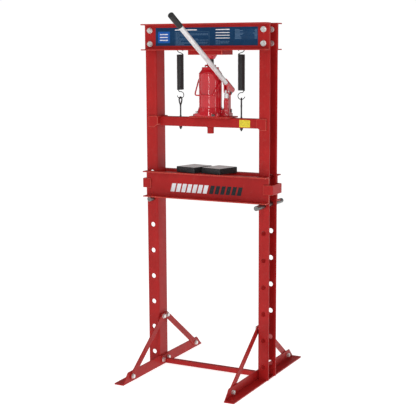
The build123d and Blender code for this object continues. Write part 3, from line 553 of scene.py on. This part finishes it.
def round_bead(centre, radius, thick=2.0):
    """Weld bead round a vertical bar."""
    points, radii = [], []
    steps = 96
    for i in range(steps):
        a = 2 * math.pi * i / steps
        p = Vector((centre[0] + radius * math.cos(a), centre[1] + radius * math.sin(a), centre[2]))
        points.append((p + noise.noise_vector(p * 0.15) * 0.4) * MM)
        radii.append((thick + 0.16 * math.sin(a * 30)) * MM)
    return tube(points, radii, 10, closed=True)


def add_welds(name, body, beads):
    mesh = mesh_from(name, *beads)
    add_object(name, mesh, body, [weld_paint], 70)


_, head_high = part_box("head_plate")
head_welds = []
for y in (-47.5, 47.5):
    head_welds.append(bead((-78, y, head_high.z / MM), (78, y, head_high.z / MM), 2.0, y))
add_welds("head_welds", "frame", head_welds)

GUIDE_SEAM_X = 232.2                        # where the beam ends at the carriage guide
PLATE_SEAM_X = (-62, -8, 46, 84)            # middles of the short runs along the jack plate
beam_low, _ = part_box("carriage_beam")
carriage_welds = [round_bead((0, 0, beam_low.z / MM - 0.4), 14.6, 1.9)]
for side in (-1, 1):
    x = side * GUIDE_SEAM_X
    for y in (-20.4, 20.4):
        carriage_welds.append(bead((x, y, 1075), (x, y, 1106), 1.9, x + y))
    carriage_welds.append(bead((x, -16, 1110.3), (x, 16, 1110.3), 1.9, x))
for y in (-20.6, 20.6):
    for x in PLATE_SEAM_X:
        carriage_welds.append(bead((x - 11, y, 1109.3), (x + 11, y, 1109.3), 2.0, x + y))
add_welds("carriage_welds", "carriage", carriage_welds)

STRAP_SEAM_X, STRAP_END_X = 266.6, 289
strap_welds = []
for side in (-1, 1):
    for y in (-46.6, 46.6):
        x = side * STRAP_SEAM_X
        strap_welds.append(bead((x, y, 803), (x, y, 839), 2.0, x + y))
        for z in (800.6, 841.4):
            strap_welds.append(bead((x, y, z), (side * STRAP_END_X, y, z), 1.8, z + y))
add_welds("strap_welds", "bed", strap_welds)

TIE_SEAM_X = 230.6
tie_welds = []
for side in (-1, 1):
    x = side * TIE_SEAM_X
    tie_welds.append(bead((x, -8.4, 8), (x, -8.4, 25), 1.6, x))
    tie_welds.append(bead((x, -7, 26.4), (x, 11, 26.4), 1.6, x + 3))
add_welds("tie_welds", "frame", tie_welds)

# ---- small jack detail ----------------------------------------------------------------
low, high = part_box("jack_reservoir")
ring = round_bead((0, 0, low.z / MM + 1.0), 49.4, 1.6)
upper_ring = round_bead((0, 0, high.z / MM), 48.8, 0.9)
mesh = mesh_from("reservoir_seams", ring, upper_ring)
add_object("reservoir_seams", mesh, "carriage", [jack_paint], 70)


# ---- printed marks ----------------------------------------------------------------------
INK = 0.12                                  # thickness of one printed layer


def printed(name, body, material, shapes, y, thick=INK):
    """Flat printed shapes, as outlines of (x, z) points in mm, standing thick proud of the face at y."""
    verts, faces = [], []
    for outline in shapes:
        base, n = len(verts), len(outline)
        verts.extend(Vector((x, y, z)) * MM for x, z in outline)
        verts.extend(Vector((x, y - thick, z)) * MM for x, z in outline)
        faces.append(tuple(base + i for i in reversed(range(n))))
        faces.append(tuple(base + n + i for i in range(n)))
        for i in range(n):
            j = (i + 1) % n
            faces.append((base + i, base + j, base + n + j, base + n + i))
    mesh = mesh_from(name, (verts, faces))
    bm = bmesh.new()
    bm.from_mesh(mesh)
    bmesh.ops.recalc_face_normals(bm, faces=bm.faces)
    bm.to_mesh(mesh)
    bm.free()
    add_object(name, mesh, body, [material], 30)


def bar(x0, x1, z0, z1, slant=0.0):
    """Outline of a bar whose top is shifted sideways by slant."""
    return [(x0, z0), (x1, z0), (x1 + slant, z1), (x0 + slant, z1)]


def rounded(x0, x1, z0, z1, r):
    """Outline of a rectangle with corners of radius r."""
    out = []
    corners = ((x1 - r, z0 + r, -90), (x1 - r, z1 - r, 0), (x0 + r, z1 - r, 90), (x0 + r, z0 + r, 180))
    for cx, cz, first in corners:
        for i in range(5):
            a = math.radians(first + 22.5 * i)
            out.append((cx + r * math.cos(a), cz + r * math.sin(a)))
    return out


PRINT_RANDOM = random.Random(7)


def filler_rows(x0, x1, top, bottom, height, gap):
    """Bars that stand for lines of small print, broken into word-long dashes."""
    out = []
    z = top
    while z - height > bottom:
        x = x0
        while x < x1 - 4:
            word = PRINT_RANDOM.uniform(4, 13)
            end = min(x + word, x1)
            out.append(bar(x, end, z - height, z))
            x = end + PRINT_RANDOM.uniform(1.2, 2.2)
            if PRINT_RANDOM.random() < 0.07:
                break
        z -= height + gap
    return out


PLATE_Y = -45.5                             # front face of the name plate
field = rounded(-225, -168, 1420, 1468, 3.0)
printed("label_field", "frame", label_light, [field], PLATE_Y)
field_lines = [rounded(-216, -177, z, z + 4.0, 0.8) for z in (1454, 1442, 1430)]
printed("label_field_lines", "frame", label_white, field_lines, PLATE_Y - INK)
white_lines = [rounded(-143, -40, 1472, 1476, 0.8), rounded(48, 112, 1472, 1476, 0.8)]
white_lines += [rounded(48, 112, z, z + 3.0, 0.8) for z in (1460, 1449, 1438)]
printed("label_white_lines", "frame", label_white, white_lines, PLATE_Y)
frame_lines = [bar(-143, 18, 1465.2, 1466), bar(-143, 18, 1410.6, 1411.4), bar(-143, -142.2, 1411, 1466),
               bar(17.2, 18, 1411, 1466)]
small_print = filler_rows(-139, 14, 1463, 1412.5, 2.0, 2.3)
small_print += filler_rows(48, 112, 1431, 1412, 1.7, 2.0)
for i in range(8):
    z = 1474.5 - i * 5.1
    small_print.append(bar(136, 136 + PRINT_RANDOM.uniform(18, 42), z - 2.2, z))
    small_print.append(bar(236 - PRINT_RANDOM.uniform(9, 20), 236, z - 2.2, z))
    frame_lines.append(bar(135, 237, z - 3.8, z - 3.4))
printed("label_small_print", "frame", label_text, small_print + frame_lines, PLATE_Y - INK)

# slanted bars along the front of the bed
BED_FACE_Y = -46.0
BAR_PITCH, BAR_WIDTH, BAR_SLANT = 26, 19, 10
BAR_LOW_Z, BAR_HIGH_Z = 790, 826


def slanted_bars(x0, count):
    """A row of equal slanted bars, the first starting at x0."""
    starts = [x0 + i * BAR_PITCH for i in range(count)]
    return [bar(x, x + BAR_WIDTH, BAR_LOW_Z, BAR_HIGH_Z, BAR_SLANT) for x in starts]


white_bars = slanted_bars(-172, 7)
dark_bars = slanted_bars(14, 6)
printed("bed_bars_white", "bed", label_white, white_bars, BED_FACE_Y)
printed("bed_bars_dark", "bed", print_dark, dark_bars, BED_FACE_Y)

beam_print = filler_rows(148, 189, 1101, 1077, 1.6, 2.4)
BEAM_LABEL_Y = -20.4
beam_ink = print_film("beam_label_ink", (0.55, 0.44, 0.06))
printed("beam_label_print", "carriage", beam_ink, beam_print, BEAM_LABEL_Y, 0.08)


# ---- floor, light and camera ----------------------------------------------------------------
FLOOR_SIZE, FLOOR_GLOW = 60.0, 0.86
AIM = (0, 0, 0.95)                          # what the lights point at, in metres


def make_floor():
    s = Surface("floor", Specular_IOR_Level=0.1, Roughness=0.8)
    tone = s.mix(s.noise(3, 3), (0.86, 0.86, 0.86), (0.90, 0.90, 0.90))
    s.set("Base Color", tone)
    s.set("Emission Color", tone)
    s.set("Emission Strength", FLOOR_GLOW)
    s.bump((s.noise(40, 3), 0.2))
    size = FLOOR_SIZE
    mesh = bpy.data.meshes.new("floor")
    corners = [(-size, -size, 0), (size, -size, 0), (size, size, 0), (-size, size, 0)]
    mesh.from_pydata(corners, [], [(0, 1, 2, 3)])
    mesh.materials.append(s.material)
    floor = bpy.data.objects.new("floor", mesh)
    bpy.context.scene.collection.objects.link(floor)


make_floor()


def softbox(name, azimuth, elevation, distance, width, height, power, target=AIM):
    """Area light on a sphere round the target; azimuth 0 is in front and 90 to the right."""
    a, e = math.radians(azimuth), math.radians(elevation)
    target = Vector(target)
    away = Vector((math.sin(a) * math.cos(e), -math.cos(a) * math.cos(e), math.sin(e)))
    light = bpy.data.lights.new(name, "AREA")
    light.shape = "RECTANGLE"
    light.size, light.size_y = width, height
    light.energy = power
    lamp = bpy.data.objects.new(name, light)
    lamp.location = target + away * distance
    lamp.rotation_euler = away.to_track_quat("Z", "Y").to_euler()
    bpy.context.scene.collection.objects.link(lamp)
    return lamp


softbox("key_strip", 11, 18, 3.6, 0.10, 2.6, 27)
softbox("fill_strip", 75, 14, 3.4, 0.09, 2.6, 10)
softbox("left_wash", -50, 35, 4.5, 2.4, 2.4, 12)
softbox("top_wash", 20, 78, 3.6, 3.0, 3.0, 14)


def make_world():
    """White to the camera; for lighting, brighter overhead than at the horizon and below."""
    world = bpy.data.worlds.new("studio")
    world.use_nodes = True
    tree = world.node_tree
    lit = tree.nodes["Background"]
    shown = tree.nodes.new("ShaderNodeBackground")
    shown.inputs["Color"].default_value = (1, 1, 1, 1)
    shown.inputs["Strength"].default_value = 1.02
    where = tree.nodes.new("ShaderNodeTexCoord")
    split = tree.nodes.new("ShaderNodeSeparateXYZ")
    tree.links.new(where.outputs["Generated"], split.inputs[0])
    height = tree.nodes.new("ShaderNodeMapRange")
    for i, value in ((1, -0.25), (2, 0.75), (3, 0.16), (4, 0.36)):
        height.inputs[i].default_value = value
    tree.links.new(split.outputs["Z"], height.inputs[0])
    tree.links.new(height.outputs[0], lit.inputs["Strength"])
    lit.inputs["Color"].default_value = (1, 1, 1, 1)
    path = tree.nodes.new("ShaderNodeLightPath")
    choose = tree.nodes.new("ShaderNodeMixShader")
    tree.links.new(path.outputs["Is Camera Ray"], choose.inputs[0])
    tree.links.new(lit.outputs[0], choose.inputs[1])
    tree.links.new(shown.outputs[0], choose.inputs[2])
    tree.links.new(choose.outputs[0], tree.nodes["World Output"].inputs["Surface"])
    return world


bpy.context.scene.world = make_world()
bpy.context.scene.view_settings.view_transform = "Standard"

AZIMUTH, DROP, ROLL = math.radians(26.918), math.radians(9.129), math.radians(-0.1947)
camera_data = bpy.data.cameras.new("photo_view")
camera_data.sensor_width = 36.0
camera_data.lens = 89.18
camera_data.shift_x = -0.0126
camera_data.shift_y = 0.0191
camera_data.clip_end = 200.0
camera = bpy.data.objects.new("photo_view", camera_data)
camera.location = (1.9862, -3.8903, 1.3896)
tilt = Matrix.Rotation(math.pi / 2 - DROP, 3, "X")
aim = Matrix.Rotation(AZIMUTH, 3, "Z") @ tilt @ Matrix.Rotation(ROLL, 3, "Z")
camera.rotation_euler = aim.to_euler()
bpy.context.scene.collection.objects.link(camera)
bpy.context.scene.camera = camera
